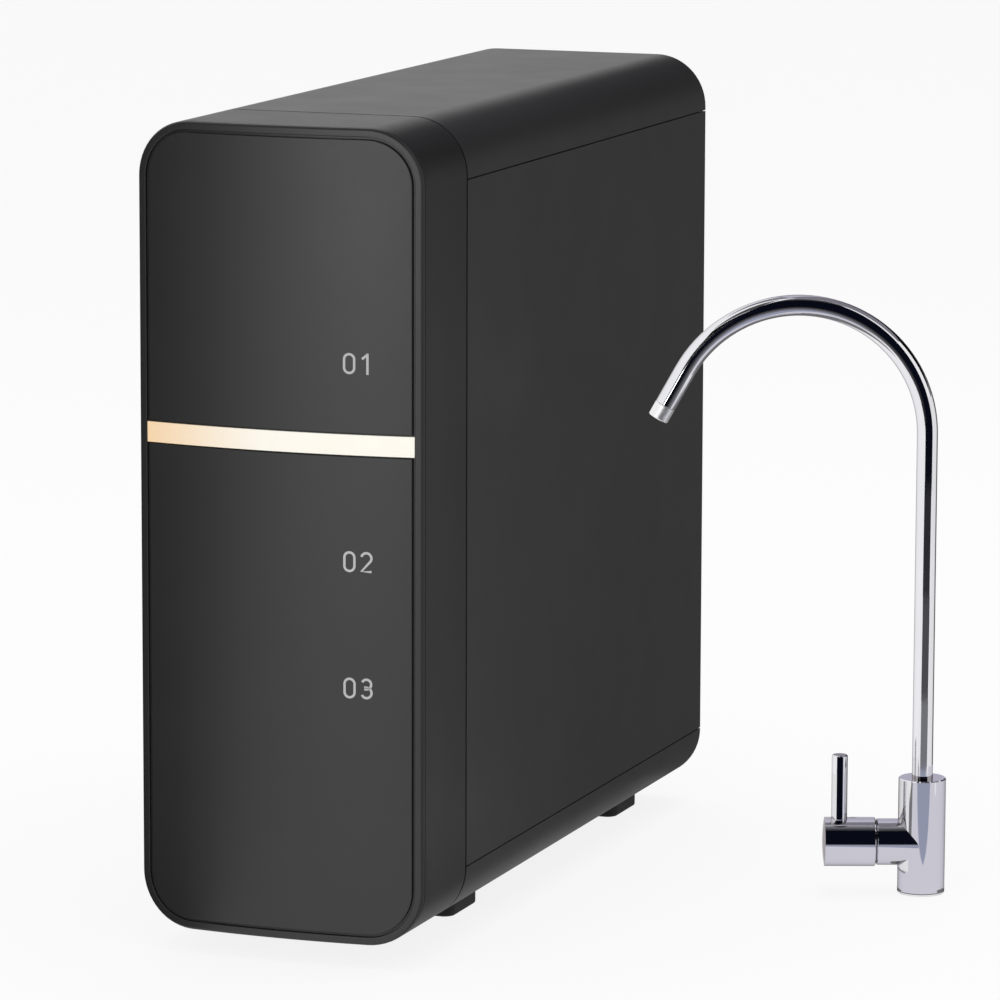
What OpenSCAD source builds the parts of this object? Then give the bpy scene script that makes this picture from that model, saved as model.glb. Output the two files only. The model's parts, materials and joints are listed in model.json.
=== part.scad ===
// Slim water purifier with three twist-in cartridges, and the gooseneck tap of the set.
// Lengths are in millimetres. X runs across the front, Y from front to rear, Z up.
// The origin is on the floor under the middle of the case.

/* [Case] */
// Width of the case
case_w = 150; // [144:1:170]
// Depth of the case from its front corner edges to its rear edge
case_d = 428; // [400:1:480]
// Height of the case above its feet
case_h = 404; // [396:1:440]
// Radius of the four long corners
corner_r = 28; // [22:1:32]
// Wall of the moulded case pieces
wall = 3; // [2:0.5:4]
// How far the middle of the front bows out past its corner edges
front_bow = 6.3; // [3:0.1:9]
// Depth of the front frame along the side of the case
front_band = 59.5; // [52:0.5:70]
// Width of the shadow gap between the front frame and the shell behind it
frame_seam = 1.5; // [0.8:0.1:2]
// Width of the seams between the pieces of the shell
seam = 0.5; // [0.4:0.1:1.5]
// Straight skirt of the top cover below its rounded corners
top_skirt = 2; // [1:0.5:8]
// Straight skirt of the base tray above its rounded corners
base_skirt = 0.5; // [0.5:0.5:8]
// Reach of the tongues that close the seams from inside
tongue_l = 8; // [5:0.5:12]
// Thickness of those tongues
tongue_t = 1.8; // [1.2:0.1:2.5]
// How far the rear panel sits in from the rear edge
rear_inset = 3; // [1:0.5:6]
// Thickness of the rear panel
rear_t = 3; // [2:0.5:4]

/* [Front cover] */
// Thickness of the rim that frames the front panels
rim_t = 2.2; // [1:0.1:2.6]
// Thickness of the web that carries the rim
rim_web = 0.8; // [0.8:0.1:2]
// Groove between the rim and the front frame
cover_groove = 0.9; // [0.5:0.1:1.5]
// Dark gap between the rim and the panels
panel_gap = 1.4; // [0.8:0.1:2]
// Thickness of the front panels and the trim strip
panel_t = 2; // [1.8:0.1:3]
// Adhesive layer between the panels and their carrier
tape_t = 0.1; // [0.05:0.05:0.3]
// Thickness of the carrier plate behind the panels
plate_t = 2.4; // [1.6:0.1:4]
// Height of the trim strip
strip_h = 10.2; // [6:0.2:16]
// Height of the middle of the trim strip above the bottom of the case
strip_z = 249.4; // [200:0.2:300]
// Gap above and below the trim strip
strip_gap = 0.6; // [0.3:0.1:1]
// Gap between each end of the trim strip and the rim
strip_end = 0.2; // [0.1:0.1:0.8]
// Diameter of the push-in studs of the cover
stud_d = 9; // [8:0.5:12]
// Diameter of the tips of those studs
stud_tip_d = 6; // [5:0.5:7]
// Distance of the studs from the side of the case
stud_edge_x = 19; // [17:0.5:22]
// Distance of the studs from the top and bottom of the case
stud_edge_z = 24; // [20:0.5:28]

/* [Fascia] */
// Thickness of the fascia that the cartridges pass through
fascia_t = 3; // [2:0.5:5]
// Length of the flange that the fascia seats on
flange_l = 8; // [5:0.5:12]
// Wall of the stud grommets
grommet_wall = 2.8; // [2:0.1:3.5]
// Height of the front flange of a grommet
grommet_lip = 2; // [1:0.5:3]
// Distance of the fascia screws from the side of the case
fascia_screw_edge = 9; // [8:0.5:10]

/* [Cartridges] */
// Outer diameter of a cartridge
cartridge_d = 104; // [90:1:110]
// Distance between the axes of the cartridges
cartridge_pitch = 124; // [118:1:130]
// Wall of a cartridge housing
cartridge_wall = 2.6; // [2:0.1:4]
// Thickness of the twist cap of a cartridge
cap_t = 8; // [5:0.5:10]
// Reach of the twist cap into its housing
cap_spigot_l = 8; // [5:0.5:12]
// Length of the grip bar on the cap
grip_l = 84; // [60:1:86]
// Width of the grip bar
grip_w = 16; // [12:1:22]
// Height of the grip bar
grip_h = 16; // [10:0.5:18]
// Distance from the front corner edges of the case back to the grip bars
grip_setback = 10; // [6:0.5:12]
// Diameter of the neck that plugs into the manifold
neck_d = 44; // [38:1:48]
// Bore of the neck
neck_bore_d = 30; // [26:1:32]
// Height of the two bayonet lugs on the neck
lug_h = 4; // [3:0.5:5]
// Width of a bayonet lug
lug_w = 8; // [6:0.5:12]
// Thickness of a bayonet lug along the neck
lug_t = 6; // [4:0.5:8]
// Distance of the lugs behind the mouth of the socket
lug_setback = 8; // [6:0.5:10]
// Outer diameter of the filter elements
element_d = 84; // [70:1:88]
// Diameter of the carbon core inside the composite element
core_d = 58; // [44:1:64]
// Bore of the filter elements
element_bore_d = 24; // [22:1:30]
// Thickness of the end caps of an element
end_cap_t = 6; // [4:0.5:10]
// Outer diameter of the outlet pipe on the rear end cap
outlet_pipe_d = 20; // [16:0.5:22]
// Wall of that outlet pipe
outlet_pipe_wall = 3; // [2:0.5:4]
// Section of the neck sealing rings
neck_ring_d = 2.7; // [2:0.1:3.5]

/* [Manifold] */
// Width of the manifold block
manifold_w = 96; // [80:1:110]
// Thickness of the manifold block
manifold_t = 16; // [15:0.5:20]
// How far the block runs past the outer socket axes
manifold_over = 34; // [32:1:38]
// Space between the manifold and the rear panel
manifold_gap = 12; // [10:0.5:20]
// Length of the sockets that stand out of the block
socket_l = 40; // [36:1:50]
// Wall of a socket outside its lug groove
socket_wall = 4; // [3:0.5:6]
// Width of the legs that stand the block in the case
leg_w = 40; // [24:1:48]
// Diameter of the water channels
channel_d = 7; // [5:0.5:8]
// Distance of a socket's inlet hole above its axis
inlet_rise = 16; // [14:0.5:17]

/* [Tube fittings] */
// Outer diameter of the water tubes that push in
tube_d = 6.35; // [6:0.05:6.5]
// Diameter of the threaded nipple of a fitting
nipple_d = 13.1; // [12:0.1:14]
// Length of that nipple
nipple_l = 11; // [8:0.5:12]
// Width of the hexagon across its flats
hex_af = 17; // [16:0.5:19]
// Thickness of the hexagon
hex_t = 7; // [5:0.5:9]
// Outer diameter of the barrel
barrel_d = 15.2; // [14:0.1:16]
// How far the barrel stands out past the rear edge of the case
barrel_reach = 6; // [4:0.5:10]
// Wall of the collet sleeve
collet_wall = 2; // [1.5:0.1:2.3]
// Length of the collet sleeve inside the barrel
collet_l = 10.5; // [8:0.5:12]
// Diameter of the push ring of the collet
collet_ring_d = 13.6; // [12.5:0.1:15]
// Thickness of that ring
collet_ring_t = 2; // [1.5:0.1:3]
// Gap between the push ring and the barrel that the collet travels in
collet_gap = 2; // [1.8:0.1:3]
// Bore of the waterway through a fitting
waterway_d = 4.4; // [3:0.1:5]

/* [Screws] */
// Diameter of the screws
screw_d = 3; // [2.5:0.1:3.5]
// Diameter of a screw head
screw_head_d = 5.6; // [5:0.1:6.2]
// Height of a screw head
screw_head_t = 2; // [1.5:0.1:2.6]
// Reach of a screw into its boss
screw_reach = 7; // [5:0.5:8]
// Diameter of the screw bosses
boss_d = 9; // [8:0.5:10]
// Length of the screw bosses
boss_l = 10; // [9:0.5:12]
// Distance of the upper and lower rear screws in from the rounded corners
boss_inset = 7; // [5:0.5:12]

/* [Feet] */
// Height of the feet
foot_h = 12; // [8:0.5:16]
// Length of a foot from front to rear
foot_l = 40; // [30:1:50]
// Width of a foot
foot_w = 26; // [20:1:30]
// Corner radius of a foot
foot_r = 6; // [3:0.5:9]
// Diameter of the stem that plugs into the base tray
foot_stem_d = 8; // [6:0.5:10]
// Distance of the front feet behind the front corner edges
front_foot = 132; // [90:1:150]
// Distance of the rear feet ahead of the rear edge
rear_foot = 45; // [35:1:70]

/* [Tap] */
// Distance from the side of the case to the tap
tap_gap = 179.5; // [165:0.5:220]
// Distance of the tap behind the middle of the case
tap_back = 41; // [-60:1:80]
// Turn of the tap about its own upright axis, in degrees
tap_turn = 20.4; // [0:0.2:40]
// Diameter of the tap body
tap_d = 24.6; // [22:0.2:30]
// Height of the tap body
tap_h = 61; // [56:0.5:70]
// Height of the valve axis
valve_z = 26.7; // [25:0.1:28]
// Diameter of the valve boss
valve_boss_d = 24.2; // [22:0.1:24.4]
// Reach of the valve boss from the axis of the tap
valve_boss_l = 23.6; // [21:0.1:26]
// Diameter of the valve cartridge
valve_d = 17; // [16:0.1:18]
// Thickness of each ceramic disc
disc_t = 3; // [2.5:0.1:3.5]
// Diameter of the valve stem
stem_d = 6; // [5:0.1:6.6]
// Diameter of the threaded inlet under the tap, at the tips of its thread
inlet_thread_d = 9; // [8:0.1:10]
// Depth of that inlet
inlet_thread_l = 14; // [10:0.5:15]

/* [Tap handle] */
// Diameter of the handle knob
knob_d = 25.6; // [24:0.1:28]
// Length of the handle knob
knob_l = 26.4; // [25:0.1:30]
// Gap between the valve boss and the knob
knob_gap = 0.6; // [0.4:0.1:1]
// Rise of the domed end of the knob
knob_dome = 1; // [0.5:0.1:2]
// Diameter of the lever pin
pin_d = 8.3; // [6:0.1:9]
// Distance of the lever pin from the outer end of the knob
pin_from_end = 7.6; // [6.5:0.1:9]
// Height of the lever pin above the valve axis
pin_h = 46.2; // [36:0.2:56]

/* [Spout] */
// Outer diameter of the spout tube
spout_d = 10.8; // [9:0.1:12]
// Wall of the spout tube
spout_wall = 1; // [0.8:0.1:1.4]
// Radius of the gooseneck at the middle of the tube
spout_r = 66.8; // [50:0.2:80]
// Height where the gooseneck begins
riser_z = 241.5; // [180:0.5:280]
// Angle that the gooseneck turns through
spout_sweep = 151; // [120:1:175]
// Straight length after the gooseneck, with the outlet tip
spout_end_l = 28; // [18:0.5:40]
// Length of the outlet tip
tip_l = 8; // [5:0.5:12]
// Depth of the spout socket in the tap body
spout_socket_l = 25; // [23:0.5:26]
// Section of the spout sealing rings
spout_ring_d = 1.8; // [1.5:0.1:2]

/* [Clearances] */
// Gap between fixed pieces that fit into each other
fit_gap = 0.2; // [0.1:0.05:0.3]
// Radial running clearance of shafts and sliding pins
run_gap = 0.08; // [0.02:0.01:0.1]
// Gap between a moving piece and what it passes
pass_gap = 0.3; // [0.3:0.05:0.5]
// Gap around a sealing ring in its groove
ring_gap = 0.02; // [0.01:0.01:0.05]
// Chamfer on the edges of turned pieces
edge = 0.5; // [0.2:0.1:0.8]
// Overlap that fuses the details of one moulding
fuse = 0.5; // [0.3:0.1:0.8]

/* [Hidden] */
$fn = 64;
bow_fn = 360;
clear = 1;

case_black = "#3a3a3c";
panel_black = "#343436";
inner_grey = "#8a8d90";
trim_gold = "#e8c89a";
rubber_black = "#1c1c1d";
filter_white = "#ecebe6";
media_cream = "#dfd9c8";
carbon_black = "#262524";
membrane_white = "#f4f3ee";
seal_black = "#151515";
steel = "#b9bcc0";
collet_blue = "#3f6fa8";
fitting_white = "#e4e4e1";
chrome = "#c9ccd2";
brass = "#b08d4c";
ceramic = "#f0ece4";

// Planes of the case
front_y = -case_d/2;
rear_y = case_d/2;
mid_z = foot_h + case_h/2;
top_z = foot_h + case_h;
bow_r = (pow(case_w/2, 2) + pow(front_bow, 2))/(2*front_bow);
bow_y = front_y - front_bow + bow_r;
function bow_at(x) = bow_y - sqrt(pow(bow_r, 2) - pow(x, 2));
frame_y = front_y + front_band - frame_seam/2;
shell_y = frame_y + frame_seam;
rear_panel_y = rear_y - rear_inset - rear_t;

// Front cover and fascia
rim_in = wall + pass_gap + rim_web;
skirt_in = wall + pass_gap;
panel_in = rim_in + panel_gap;
strip_mid = foot_h + strip_z;
fascia_y1 = frame_y - flange_l;
fascia_y0 = fascia_y1 - fascia_t;
stud_x = case_w/2 - stud_edge_x;
stud_rise = case_h/2 - stud_edge_z;
stud_spots = [for (x = [-1, 1], z = [-1, 1]) [x*stud_x, z*stud_rise]];
grommet_d = stud_tip_d + 2*run_gap + 2*grommet_wall;
fascia_screw_x = case_w/2 - fascia_screw_edge;
fascia_screw_spots = [for (x = [-1, 1], z = [-1, 1]) [x*fascia_screw_x, z*cartridge_pitch/2]];

// Manifold and cartridges, from the rear panel forward
manifold_y1 = rear_panel_y - manifold_gap;
manifold_y0 = manifold_y1 - manifold_t;
socket_y = manifold_y0 - socket_l;
socket_sink = 2;
socket_r = neck_d/2 + run_gap;
groove_r = neck_d/2 + lug_h + pass_gap;
lug_y = socket_y + lug_setback;
shoulder_gap = 4;
housing_y1 = socket_y - shoulder_gap;
neck_y = manifold_y0 - shoulder_gap + socket_sink;
grip_y = front_y + grip_setback;
cap_y = grip_y + grip_h;
housing_y0 = cap_y + cap_t;
neck_ring_step = 6;
neck_ring_spots = [for (k = [0, 1]) neck_y - neck_ring_d - k*neck_ring_step];
neck_ring_r = neck_d/2 - neck_ring_d/2 + run_gap/2;
element_y0 = housing_y0 + cap_spigot_l + end_cap_t;
element_y1 = housing_y1 - cartridge_wall - end_cap_t;
end_cap_d = element_d + 2;
stage_z = [for (k = [1, 0, -1]) mid_z + k*cartridge_pitch];

// Tube fittings
barrel_end = rear_y + barrel_reach;
collet_d = tube_d + 2*run_gap + 2*collet_wall;
seal_d = collet_wall;
seal_y = barrel_end - collet_l - 3*seal_d/2;
inlet_z = stage_z[0] + inlet_rise;
outlet_z = stage_z[2];

// Rear screws
boss_x = case_w/2 - corner_r - boss_inset;
boss_rise = case_h/2 - wall - boss_d/2 + fuse;
boss_side = case_w/2 - wall - boss_d/2 + fuse;
end_boss_spots = [for (x = [-1, 1]) [x*boss_x, boss_rise]];
rear_screw_spots = concat(
    end_boss_spots,
    [for (spot = end_boss_spots) [spot[0], -spot[1]]],
    [for (x = [-1, 1]) [x*boss_side, 0]]
);

// Feet
foot_x = case_w/2 - corner_r - foot_w/2;
foot_front_y = front_y + front_foot;
foot_rear_y = rear_y - rear_foot;
foot_bead = 3;
foot_spots = [for (x = [-1, 1], y = [foot_front_y, foot_rear_y]) [x*foot_x, y]];

// Tap, along its upright axis and out along its valve axis
tap_x = case_w/2 + tap_gap;
spout_floor = tap_h - spout_socket_l;
chamber_floor = 4;
seat_t = 0.6;
fixed_disc_end = chamber_floor + seat_t + disc_t;
moving_disc_start = fixed_disc_end + run_gap/2;
moving_disc_end = moving_disc_start + disc_t;
driver_t = 3;
valve_cavity_d = valve_d - 3;
valve_nose_d = valve_d - 3;
valve_nose_l = 9;
knob_y = valve_boss_l + knob_gap;
knob_end = knob_y + knob_l;
knob_cavity_l = valve_nose_l + 2;
stem_end = knob_y + knob_l - 5;
pin_at = knob_end - pin_from_end;
pin_seat = knob_d/2 - 3;
pin_stud_d = pin_d/2;
pin_stud_l = 5;
grub_d = 4;
grub_at = knob_y + knob_cavity_l + grub_d/2 + 1;
port_d = 3.6;
port_rise = 4;
base_seal_in = 14;
base_seal_out = 21;
base_seal_t = 1.8;
spigot_z = spout_floor + 1;
spigot_l = 15;
spout_z = spigot_z + spigot_l;
nipple_reach = 6;
clip_z = spigot_z + 3;
clip_t = 1.2;
clip_grip = 0.8;
clip_slot = 3;
spout_ring_spots = [spigot_z + 7.5, spigot_z + 11.5];
spout_ring_r = spout_d/2 - spout_ring_d/2 + run_gap/2;
// The straight end is this much fuller than the bend, so that the two fuse
bend_swell = 0.01;

// Shapes that several pieces share

module rounded_rect(w, h, r) {
    square([w - 2*r, h], center = true);
    square([w, h - 2*r], center = true);
    for (x = [-1, 1], y = [-1, 1]) {
        translate([x*(w/2 - r), y*(h/2 - r)]) circle(r);
    }
}

// Front view of the case, or of a line parallel to it
module outline(inset = 0) {
    rounded_rect(case_w - 2*inset, case_h - 2*inset, corner_r - inset);
}

// Runs a front view from y0 back to y1
module along_y(y0, y1) {
    translate([0, y1, mid_z]) rotate([90, 0, 0]) linear_extrude(y1 - y0) children();
}

// Straight bar or hole along Y, placed by its offsets from the middle of the front
module bar_y(spot, d, y0, y1) {
    translate([spot[0], y1, mid_z + spot[1]]) rotate([90, 0, 0]) cylinder(d = d, h = y1 - y0);
}

// Round piece about a cartridge or fitting axis; its profile is drawn as radius and Y
module turned_y(z) {
    translate([0, 0, z]) rotate([-90, 0, 0]) rotate_extrude() children();
}

// All that lies behind a surface parallel to the bowed front
module behind_bow(depth) {
    translate([0, bow_y, mid_z])
        cylinder(r = bow_r - depth, h = case_h + 2*clear, center = true, $fn = bow_fn);
}

// Layer of the front between two depths behind the bowed surface
module bowed(inset, depth0, depth1) {
    difference() {
        intersection() {
            along_y(front_y - front_bow - 2*clear, front_y + depth1 + clear) outline(inset);
            behind_bow(depth0);
        }
        behind_bow(depth1);
    }
}

// Bar with chamfered ends along Z
module turned_bar(d, l) {
    rotate_extrude() polygon([
        [0, 0], [d/2 - edge, 0], [d/2, edge], [d/2, l - edge], [d/2 - edge, l], [0, l]
    ]);
}

// Sealing ring about Z
module seal_ring(r, section, z) {
    translate([0, 0, z]) rotate_extrude() translate([r, 0]) circle(d = section);
}

// Pan-head screw along Y, with its head against the plane y0 and its shank behind or ahead of it
module pan_screw(spot, y0, shank, way) {
    translate([spot[0], y0, mid_z + spot[1]]) rotate([90*way, 0, 0]) {
        difference() {
            rotate_extrude() polygon([
                [0, 0], [screw_head_d/2, 0], [screw_head_d/2, screw_head_t/2],
                [screw_head_d/3, screw_head_t], [0, screw_head_t]
            ]);
            for (turn = [0, 90]) {
                rotate([0, 0, turn]) translate([0, 0, screw_head_t])
                    cube([screw_head_d/2, screw_d/4, screw_head_t], center = true);
            }
        }
        translate([0, 0, -shank]) cylinder(d = screw_d, h = shank);
    }
}

// Case

module front_frame() {
    spigot_y1 = shell_y + tongue_l;
    color(case_black) difference() {
        union() {
            difference() {
                intersection() {
                    along_y(front_y - front_bow - clear, frame_y) outline();
                    behind_bow(rim_t + cover_groove);
                }
                along_y(front_y - front_bow - 2*clear, frame_y + clear) outline(wall);
            }
            difference() {
                union() {
                    along_y(fascia_y1, frame_y) outline(wall - fuse);
                    along_y(fascia_y1, spigot_y1) outline(wall + fit_gap);
                }
                along_y(fascia_y1 - clear, spigot_y1 + clear) outline(wall + fit_gap + tongue_t);
            }
            for (spot = fascia_screw_spots) bar_y(spot, boss_d, fascia_y1, fascia_y1 + boss_l);
        }
        for (spot = fascia_screw_spots) {
            bar_y(spot, screw_d + 2*run_gap, fascia_y1 - clear, fascia_y1 + screw_reach + clear);
        }
    }
}

module cartridge_fascia() {
    color(inner_grey) difference() {
        along_y(fascia_y0, fascia_y1) outline(wall + fit_gap);
        for (k = [-1, 0, 1]) {
            bar_y([0, k*cartridge_pitch], cartridge_d + 2*pass_gap, fascia_y0 - clear, fascia_y1 + clear);
        }
        for (spot = stud_spots) bar_y(spot, grommet_d + 2*fit_gap, fascia_y0 - clear, fascia_y1 + clear);
        for (spot = fascia_screw_spots) {
            bar_y(spot, screw_d + 2*fit_gap, fascia_y0 - clear, fascia_y1 + clear);
        }
    }
}

module cover_grommets() {
    lip_d = grommet_d + 2*grommet_lip;
    bead = grommet_lip*3/4;
    color(rubber_black) for (spot = stud_spots) {
        difference() {
            union() {
                bar_y(spot, lip_d, fascia_y0 - grommet_lip, fascia_y0);
                bar_y(spot, grommet_d, fascia_y0 - clear, fascia_y1 + clear/2);
                bar_y(spot, grommet_d + bead, fascia_y1, fascia_y1 + bead);
            }
            bar_y(spot, stud_tip_d + 2*run_gap, fascia_y0 - grommet_lip - clear, fascia_y1 + bead + clear);
        }
    }
}

module fascia_screws() {
    color(steel) for (spot = fascia_screw_spots) pan_screw(spot, fascia_y0, fascia_t + screw_reach, 1);
}

// Top of the shell: a channel with rounded corners, lips behind the side seams and two screw bosses
module shell_channel(skirt) {
    seam_z = top_z - corner_r - skirt;
    lip_x1 = case_w/2 - wall - fit_gap;
    lip_y0 = shell_y + tongue_l + clear;
    lip_l = rear_panel_y - clear - lip_y0;
    join_h = 3;
    difference() {
        union() {
            intersection() {
                difference() {
                    along_y(shell_y, rear_y) outline();
                    along_y(shell_y - clear, rear_y + clear) outline(wall);
                }
                translate([-case_w/2, shell_y, seam_z + seam/2]) cube([case_w, rear_y - shell_y, case_h]);
            }
            for (side = [0, 1]) mirror([side, 0, 0]) {
                translate([lip_x1 - tongue_t, lip_y0, seam_z - tongue_l])
                    cube([tongue_t, lip_l, tongue_l + seam/2 + join_h]);
                translate([lip_x1 - tongue_t, lip_y0, seam_z + seam/2])
                    cube([tongue_t + fit_gap + fuse, lip_l, join_h]);
            }
            for (spot = end_boss_spots) bar_y(spot, boss_d, rear_panel_y - boss_l, rear_panel_y);
        }
        for (spot = end_boss_spots) {
            bar_y(spot, screw_d + 2*run_gap, rear_panel_y - screw_reach - clear, rear_panel_y + clear);
        }
    }
}

module top_cover() {
    color(case_black) shell_channel(top_skirt);
}

module base_tray() {
    color(case_black) difference() {
        translate([0, 0, 2*mid_z]) mirror([0, 0, 1]) shell_channel(base_skirt);
        for (spot = foot_spots) {
            translate([spot[0], spot[1], foot_h - clear])
                cylinder(d = foot_stem_d + 2*fit_gap, h = wall + 2*clear);
        }
    }
}

module side_panel() {
    panel_z0 = foot_h + corner_r + base_skirt + seam/2;
    panel_z1 = top_z - corner_r - top_skirt - seam/2;
    color(case_black) difference() {
        union() {
            translate([case_w/2 - wall, shell_y, panel_z0]) cube([wall, rear_y - shell_y, panel_z1 - panel_z0]);
            bar_y([boss_side, 0], boss_d, rear_panel_y - boss_l, rear_panel_y);
        }
        bar_y([boss_side, 0], screw_d + 2*run_gap, rear_panel_y - screw_reach - clear, rear_panel_y + clear);
    }
}

module right_side_panel() {
    side_panel();
}

module left_side_panel() {
    mirror([1, 0, 0]) side_panel();
}

module rear_panel() {
    color(case_black) difference() {
        along_y(rear_panel_y, rear_panel_y + rear_t) outline(wall + fit_gap);
        for (z = [inlet_z, outlet_z]) {
            bar_y([0, z - mid_z], barrel_d + 2*fit_gap, rear_panel_y - clear, rear_panel_y + rear_t + clear);
        }
        for (spot = rear_screw_spots) {
            bar_y(spot, screw_d + 2*fit_gap, rear_panel_y - clear, rear_panel_y + rear_t + clear);
        }
    }
}

module rear_screws() {
    color(steel) for (spot = rear_screw_spots) {
        pan_screw(spot, rear_panel_y + rear_t, rear_t + screw_reach, -1);
    }
}

// Rubber foot with a stem that plugs through the base tray
module foot(x, y) {
    color(rubber_black) translate([x, y, 0]) {
        linear_extrude(foot_h) rounded_rect(foot_w, foot_l, foot_r);
        cylinder(d = foot_stem_d, h = foot_h + wall + foot_bead);
        translate([0, 0, foot_h + wall]) cylinder(d = foot_stem_d + foot_bead, h = foot_bead);
    }
}

module front_left_foot() {
    foot(-foot_x, foot_front_y);
}

module front_right_foot() {
    foot(foot_x, foot_front_y);
}

module rear_left_foot() {
    foot(-foot_x, foot_rear_y);
}

module rear_right_foot() {
    foot(foot_x, foot_rear_y);
}

// Front cover

module cover_carrier() {
    stud_shoulder = fascia_y0 - grommet_lip - clear;
    stud_root = bow_at(stud_x) + panel_t + plate_t/2;
    color(case_black) {
        difference() {
            union() {
                bowed(0, 0, rim_t);
                bowed(skirt_in, 0, panel_t + plate_t);
            }
            bowed(rim_in, -clear, panel_t);
        }
        for (spot = stud_spots) {
            bar_y(spot, stud_d, stud_root, stud_shoulder);
            bar_y(spot, stud_tip_d, stud_root, fascia_y1 + grommet_lip);
        }
    }
}

// Slice of the panel layer between two heights
module front_slice(inset, z0, z1) {
    intersection() {
        bowed(inset, 0, panel_t - tape_t);
        translate([-case_w/2, front_y - case_w/2, z0]) cube([case_w, case_w, z1 - z0]);
    }
}

module upper_front_panel() {
    color(panel_black) front_slice(panel_in, strip_mid + strip_h/2 + strip_gap, top_z);
}

module lower_front_panel() {
    color(panel_black) front_slice(panel_in, foot_h, strip_mid - strip_h/2 - strip_gap);
}

module trim_strip() {
    color(trim_gold) front_slice(rim_in + strip_end, strip_mid - strip_h/2, strip_mid + strip_h/2);
}

// Water manifold and tube fittings

module water_manifold() {
    low_z = stage_z[2] - manifold_over;
    high_z = stage_z[0] + manifold_over;
    floor_y = manifold_y0 + socket_sink;
    channel_y = floor_y + channel_d/2 + 2*clear;
    color(inner_grey) difference() {
        union() {
            translate([-manifold_w/2, manifold_y0, low_z]) cube([manifold_w, manifold_t, high_z - low_z]);
            translate([-leg_w/2, manifold_y0, foot_h + wall]) cube([leg_w, manifold_t, case_h - 2*wall]);
            for (z = stage_z) {
                bar_y([0, z - mid_z], 2*(groove_r + socket_wall), socket_y, manifold_y0 + clear);
            }
        }
        for (z = stage_z) {
            bar_y([0, z - mid_z], 2*socket_r, socket_y - clear, floor_y);
            bar_y([0, z - mid_z], 2*groove_r, lug_y - pass_gap, lug_y + lug_t + pass_gap);
            intersection() {
                bar_y([0, z - mid_z], 2*groove_r, socket_y - clear, lug_y);
                translate([-lug_w/2 - 2*pass_gap, socket_y - clear, z - groove_r])
                    cube([lug_w + 4*pass_gap, lug_y - socket_y + clear, 2*groove_r]);
            }
        }
        for (k = [0, 1]) {
            low = stage_z[k + 1] + inlet_rise;
            translate([0, channel_y, low]) cylinder(d = channel_d, h = stage_z[k] - low);
            bar_y([0, low - mid_z], channel_d, floor_y - clear, channel_y);
            bar_y([0, stage_z[k] - mid_z], channel_d, floor_y - clear, channel_y);
        }
        for (z = [inlet_z, outlet_z]) {
            bar_y([0, z - mid_z], channel_d, floor_y - clear, manifold_y1);
            bar_y([0, z - mid_z], nipple_d + 2*run_gap, manifold_y1 - nipple_l - clear, manifold_y1 + clear);
        }
    }
}

// Push-in tube fitting that screws into the manifold and passes the rear panel
module fitting(z) {
    stop_l = 6;
    color(fitting_white) difference() {
        union() {
            bar_y([0, z - mid_z], nipple_d, manifold_y1 - nipple_l, manifold_y1 + clear);
            translate([0, manifold_y1 + hex_t, z]) rotate([90, 0, 0])
                cylinder(d = hex_af/cos(30), h = hex_t, $fn = 6);
            bar_y([0, z - mid_z], barrel_d, manifold_y1 + clear, barrel_end);
        }
        bar_y([0, z - mid_z], waterway_d, manifold_y1 - nipple_l - clear, barrel_end);
        bar_y([0, z - mid_z], tube_d + 2*run_gap, seal_y - seal_d/2 - stop_l, barrel_end);
        bar_y([0, z - mid_z], collet_d + 2*run_gap, seal_y - seal_d/2 - ring_gap, barrel_end + clear);
    }
}

module fitting_seal(z) {
    color(seal_black) turned_y(z) translate([collet_d/2 - seal_d/2, seal_y]) circle(d = seal_d);
}

module collet(z) {
    ring_y = barrel_end + collet_gap;
    color(collet_blue) difference() {
        union() {
            bar_y([0, z - mid_z], collet_d, barrel_end - collet_l, ring_y + clear);
            bar_y([0, z - mid_z], collet_ring_d, ring_y, ring_y + collet_ring_t);
        }
        bar_y([0, z - mid_z], tube_d + 2*run_gap, barrel_end - collet_l - clear, ring_y + collet_ring_t + clear);
    }
}

module inlet_fitting() {
    fitting(inlet_z);
}

module inlet_seal() {
    fitting_seal(inlet_z);
}

module inlet_collet() {
    collet(inlet_z);
}

module outlet_fitting() {
    fitting(outlet_z);
}

module outlet_seal() {
    fitting_seal(outlet_z);
}

module outlet_collet() {
    collet(outlet_z);
}

// Filter cartridges

module housing(z) {
    r = cartridge_d/2;
    color(filter_white) {
        difference() {
            turned_y(z) polygon([
                [r - cartridge_wall, housing_y0], [r, housing_y0], [r, housing_y1 - 2*cartridge_wall],
                [r - 2*cartridge_wall, housing_y1], [neck_d/2, housing_y1], [neck_d/2, neck_y - edge],
                [neck_d/2 - edge, neck_y], [neck_bore_d/2, neck_y], [neck_bore_d/2, housing_y1 - cartridge_wall],
                [r - cartridge_wall, housing_y1 - cartridge_wall]
            ]);
            for (y = neck_ring_spots) {
                turned_y(z) translate([neck_ring_r - neck_ring_d/2 - ring_gap, y - neck_ring_d/2 - ring_gap])
                    square([neck_ring_d + clear, neck_ring_d + 2*ring_gap]);
            }
        }
        intersection() {
            difference() {
                bar_y([0, z - mid_z], neck_d + 2*lug_h, lug_y, lug_y + lug_t);
                bar_y([0, z - mid_z], neck_d - 2*fuse, lug_y - clear, lug_y + lug_t + clear);
            }
            translate([-cartridge_d/2, lug_y, z - lug_w/2]) cube([cartridge_d, lug_t, lug_w]);
        }
    }
}

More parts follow.
